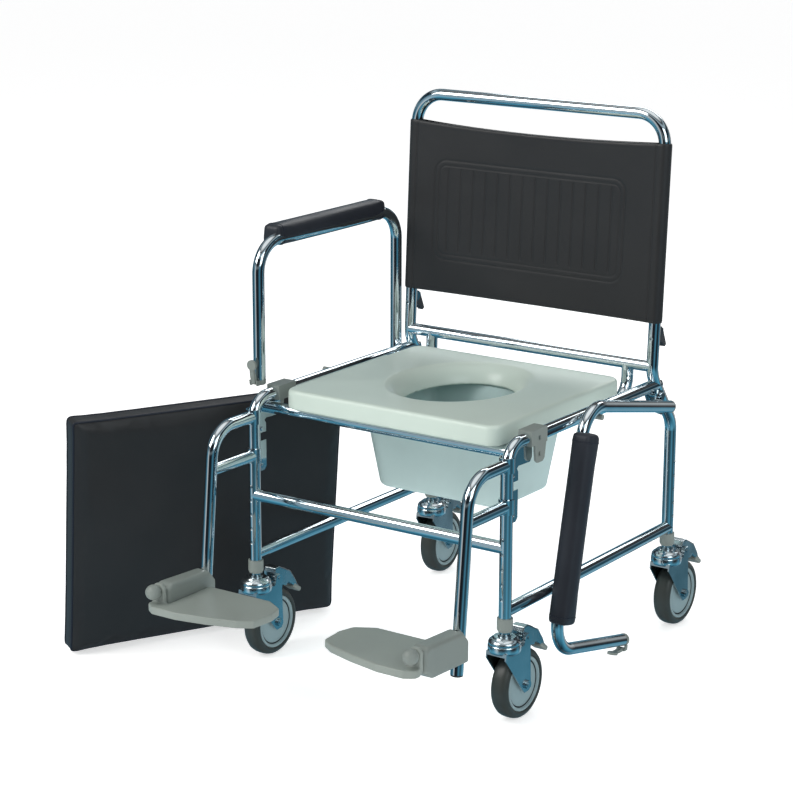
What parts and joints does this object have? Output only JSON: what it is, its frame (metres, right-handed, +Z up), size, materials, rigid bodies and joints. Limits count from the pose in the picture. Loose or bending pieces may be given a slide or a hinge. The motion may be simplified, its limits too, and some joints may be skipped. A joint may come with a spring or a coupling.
{
  "type": "commode chair",
  "caption": "Wheeled commode chair: chromed tube frame, padded back, drop-down armrests, footrests, seat board with opening over a slide-out pan, and a loose cushion.",
  "frame": {"origin": "on the floor, under the middle of the whole object's footprint, the loose cushion included", "axes": "+Z up, +Y towards the back of the chair, +X towards its own left hand when seen from the front"},
  "size_m": [0.9115, 0.9856, 0.9938],
  "materials": {
    "chrome_tube": "bright chrome plate on bent steel tube",
    "zinc_steel": "zinc-plated pressed steel",
    "black_vinyl": "smooth black upholstery vinyl, piped and embossed",
    "seat_plastic": "moulded polypropylene, pale grey-green, soft gloss",
    "pan_plastic": "moulded polypropylene, blue-grey",
    "grey_plastic": "fine-textured moulded nylon, mid grey",
    "black_plastic": "fine-textured moulded nylon, black",
    "grey_tyre": "soft dark grey tread rubber",
    "hub_plastic": "moulded nylon wheel centre, blue-grey"
  },
  "bodies": {
    "frame": {"left_side_rail": "chrome_tube", "right_side_rail": "chrome_tube", "left_back_post": "chrome_tube", "right_back_post": "chrome_tube", "front_left_leg": "chrome_tube", "front_right_leg": "chrome_tube", "rear_left_leg": "chrome_tube", "rear_right_leg": "chrome_tube", "lower_frame_tubes": "chrome_tube", "seat_support_frame": "chrome_tube", "leg_collars": "grey_plastic", "frame_brackets": "chrome_tube", "armrest_receivers": "grey_plastic"},
    "front_left_stem": {"front_left_leg_stem": "zinc_steel"},
    "front_left_button": {"front_left_leg_button": "zinc_steel"},
    "front_left_caster": {"front_left_caster_fork": "zinc_steel"},
    "front_left_wheel": {"front_left_wheel_hub": "hub_plastic", "front_left_tyre": "grey_tyre"},
    "front_left_brake": {"front_left_brake_pedal": "zinc_steel"},
    "front_right_stem": {"front_right_leg_stem": "zinc_steel"},
    "front_right_button": {"front_right_leg_button": "zinc_steel"},
    "front_right_caster": {"front_right_caster_fork": "zinc_steel"},
    "front_right_wheel": {"front_right_wheel_hub": "hub_plastic", "front_right_tyre": "grey_tyre"},
    "front_right_brake": {"front_right_brake_pedal": "zinc_steel"},
    "rear_left_stem": {"rear_left_leg_stem": "zinc_steel"},
    "rear_left_button": {"rear_left_leg_button": "zinc_steel"},
    "rear_left_caster": {"rear_left_caster_fork": "zinc_steel"},
    "rear_left_wheel": {"rear_left_wheel_hub": "hub_plastic", "rear_left_tyre": "grey_tyre"},
    "rear_left_brake": {"rear_left_brake_pedal": "zinc_steel"},
    "rear_right_stem": {"rear_right_leg_stem": "zinc_steel"},
    "rear_right_button": {"rear_right_leg_button": "zinc_steel"},
    "rear_right_caster": {"rear_right_caster_fork": "zinc_steel"},
    "rear_right_wheel": {"rear_right_wheel_hub": "hub_plastic", "rear_right_tyre": "grey_tyre"},
    "rear_right_brake": {"rear_right_brake_pedal": "zinc_steel"},
    "back": {"back_frame": "chrome_tube", "back_cover": "black_vinyl"},
    "left_back_button": {"left_back_button": "zinc_steel"},
    "left_back_lever": {"left_back_lever": "black_plastic"},
    "right_back_button": {"right_back_button": "zinc_steel"},
    "right_back_lever": {"right_back_lever": "black_plastic"},
    "left_armrest": {"left_armrest_tube": "chrome_tube", "left_armrest_pad": "black_vinyl", "left_armrest_caps": "grey_plastic"},
    "left_latch": {"left_armrest_latch": "grey_plastic"},
    "right_armrest": {"right_armrest_tube": "chrome_tube", "right_armrest_pad": "black_vinyl", "right_armrest_caps": "grey_plastic"},
    "right_latch": {"right_armrest_latch": "grey_plastic"},
    "left_footrest": {"left_footrest_hanger": "chrome_tube", "left_footrest_hinge": "grey_plastic"},
    "left_footplate": {"left_footplate": "grey_plastic"},
    "right_footrest": {"right_footrest_hanger": "chrome_tube", "right_footrest_hinge": "grey_plastic"},
    "right_footplate": {"right_footplate": "grey_plastic"},
    "seat": {"seat_board": "seat_plastic"},
    "pan": {"commode_pan": "pan_plastic"},
    "cushion": {"seat_cushion": "black_vinyl"}
  },
  "joints": [
    {"name": "front_left_leg_extend", "type": "slide", "parent": "frame", "child": "front_left_stem", "axis": [0, 0, -1], "range_m": [0, 0.106]},
    {"name": "front_left_button_press", "type": "slide", "parent": "front_left_stem", "child": "front_left_button", "axis": [0, 1, 0], "range_m": [0, 0.003], "stiffness_N_per_m": 300},
    {"name": "front_left_swivel", "type": "hinge", "parent": "front_left_stem", "child": "front_left_caster", "pos_m": [-0.13144, -0.19581, 0.15], "axis": [0, 0, 1], "continuous": true},
    {"name": "front_left_roll", "type": "hinge", "parent": "front_left_caster", "child": "front_left_wheel", "pos_m": [-0.13144, -0.15581, 0.0625], "axis": [1, 0, 0], "continuous": true},
    {"name": "front_left_brake_tilt", "type": "hinge", "parent": "front_left_caster", "child": "front_left_brake", "pos_m": [-0.13144, -0.15181, 0.146], "axis": [-1, 0, 0], "range_deg": [0, 9.5]},
    {"name": "front_right_leg_extend", "type": "slide", "parent": "frame", "child": "front_right_stem", "axis": [0, 0, -1], "range_m": [0, 0.106]},
    {"name": "front_right_button_press", "type": "slide", "parent": "front_right_stem", "child": "front_right_button", "axis": [0, 1, 0], "range_m": [0, 0.003], "stiffness_N_per_m": 300},
    {"name": "front_right_swivel", "type": "hinge", "parent": "front_right_stem", "child": "front_right_caster", "pos_m": [0.40256, -0.19581, 0.15], "axis": [0, 0, 1], "continuous": true},
    {"name": "front_right_roll", "type": "hinge", "parent": "front_right_caster", "child": "front_right_wheel", "pos_m": [0.40326, -0.15582, 0.0625], "axis": [0.9998, -0.0175, 0], "continuous": true},
    {"name": "front_right_brake_tilt", "type": "hinge", "parent": "front_right_caster", "child": "front_right_brake", "pos_m": [0.40333, -0.15182, 0.146], "axis": [-0.9998, 0.0175, 0], "range_deg": [0, 9.5]},
    {"name": "rear_left_leg_extend", "type": "slide", "parent": "frame", "child": "rear_left_stem", "axis": [0, 0, -1], "range_m": [0, 0.106]},
    {"name": "rear_left_button_press", "type": "slide", "parent": "rear_left_stem", "child": "rear_left_button", "axis": [1, 0, 0], "range_m": [0, 0.003], "stiffness_N_per_m": 300},
    {"name": "rear_left_swivel", "type": "hinge", "parent": "rear_left_stem", "child": "rear_left_caster", "pos_m": [-0.13144, 0.37419, 0.15], "axis": [0, 0, 1], "continuous": true},
    {"name": "rear_left_roll", "type": "hinge", "parent": "rear_left_caster", "child": "rear_left_wheel", "pos_m": [-0.13423, 0.41409, 0.0625], "axis": [0.9976, 0.0698, 0], "continuous": true},
    {"name": "rear_left_brake_tilt", "type": "hinge", "parent": "rear_left_caster", "child": "rear_left_brake", "pos_m": [-0.13451, 0.41808, 0.146], "axis": [-0.9976, -0.0698, 0], "range_deg": [0, 9.5]},
    {"name": "rear_right_leg_extend", "type": "slide", "parent": "frame", "child": "rear_right_stem", "axis": [0, 0, -1], "range_m": [0, 0.106]},
    {"name": "rear_right_button_press", "type": "slide", "parent": "rear_right_stem", "child": "rear_right_button", "axis": [-1, 0, 0], "range_m": [0, 0.003], "stiffness_N_per_m": 300},
    {"name": "rear_right_swivel", "type": "hinge", "parent": "rear_right_stem", "child": "rear_right_caster", "pos_m": [0.40256, 0.37419, 0.15], "axis": [0, 0, 1], "continuous": true},
    {"name": "rear_right_roll", "type": "hinge", "parent": "rear_right_caster", "child": "rear_right_wheel", "pos_m": [0.40256, 0.41419, 0.0625], "axis": [1, 0, 0], "continuous": true},
    {"name": "rear_right_brake_tilt", "type": "hinge", "parent": "rear_right_caster", "child": "rear_right_brake", "pos_m": [0.40256, 0.41819, 0.146], "axis": [-1, 0, 0], "range_deg": [0, 9.5]},
    {"name": "back_lift", "type": "slide", "parent": "frame", "child": "back", "axis": [0, 0.0546, 0.9985], "range_m": [0, 0.085]},
    {"name": "left_back_button_press", "type": "slide", "parent": "frame", "child": "left_back_button", "axis": [0, 0.9985, -0.0546], "range_m": [0, 0.003]},
    {"name": "left_back_lever_pull", "type": "hinge", "parent": "back", "child": "left_back_lever", "pos_m": [-0.13144, 0.31654, 0.59204], "axis": [1, 0, 0], "range_deg": [0, 12], "stiffness_Nm_per_rad": 0.15, "springref_deg": -8.59},
    {"name": "right_back_button_press", "type": "slide", "parent": "frame", "child": "right_back_button", "axis": [0, 0.9985, -0.0546], "range_m": [0, 0.003]},
    {"name": "right_back_lever_pull", "type": "hinge", "parent": "back", "child": "right_back_lever", "pos_m": [0.40256, 0.31654, 0.59204], "axis": [1, 0, 0], "range_deg": [0, 12], "stiffness_Nm_per_rad": 0.15, "springref_deg": -8.59},
    {"name": "left_armrest_drop", "type": "hinge", "parent": "frame", "child": "left_armrest", "pos_m": [-0.14944, 0.30219, 0.474], "axis": [1, 0, 0], "range_deg": [0, 50]},
    {"name": "left_latch_press", "type": "hinge", "parent": "left_armrest", "child": "left_latch", "pos_m": [-0.15644, -0.16131, 0.511], "axis": [1, 0, 0], "range_deg": [0, 14], "stiffness_Nm_per_rad": 0.05, "springref_deg": -5.73},
    {"name": "right_armrest_raise", "type": "hinge", "parent": "frame", "child": "right_armrest", "pos_m": [0.42056, 0.30219, 0.474], "axis": [-1, 0, 0], "range_deg": [0, 77.6]},
    {"name": "right_latch_press", "type": "hinge", "parent": "right_armrest", "child": "right_latch", "pos_m": [0.42756, 0.16652, 0.02926], "axis": [1, 0, 0], "range_deg": [0, 14], "stiffness_Nm_per_rad": 0.05, "springref_deg": -5.73},
    {"name": "left_footrest_lift", "type": "slide", "parent": "frame", "child": "left_footrest", "axis": [0, 0, 1], "range_m": [0, 0.04]},
    {"name": "left_footplate_fold", "type": "hinge", "parent": "left_footrest", "child": "left_footplate", "pos_m": [-0.13244, -0.41581, 0.209], "axis": [0, -1, 0], "range_deg": [0, 90]},
    {"name": "right_footrest_lift", "type": "slide", "parent": "frame", "child": "right_footrest", "axis": [0, 0, 1], "range_m": [0, 0.04]},
    {"name": "right_footplate_fold", "type": "hinge", "parent": "right_footrest", "child": "right_footplate", "pos_m": [0.40356, -0.41581, 0.209], "axis": [0, 1, 0], "range_deg": [0, 90]},
    {"name": "seat_lift", "type": "slide", "parent": "frame", "child": "seat", "axis": [0, 0, 1], "range_m": [0, 0.045]},
    {"name": "pan_slide", "type": "slide", "parent": "seat", "child": "pan", "axis": [0, 1, 0], "range_m": [0, 0.3]},
    {"name": "cushion_tip", "type": "hinge", "parent": "frame", "child": "cushion", "pos_m": [-0.45707, -0.37243, 0.00545], "axis": [-0.4571, -0.8894, 0], "range_deg": [0, 96.8]}
  ],
  "couplings": [
    {"joint": "left_back_button_press", "follows": "left_back_lever_pull", "m_per_rad": 0.0143},
    {"joint": "right_back_button_press", "follows": "right_back_lever_pull", "m_per_rad": 0.0143}
  ]
}
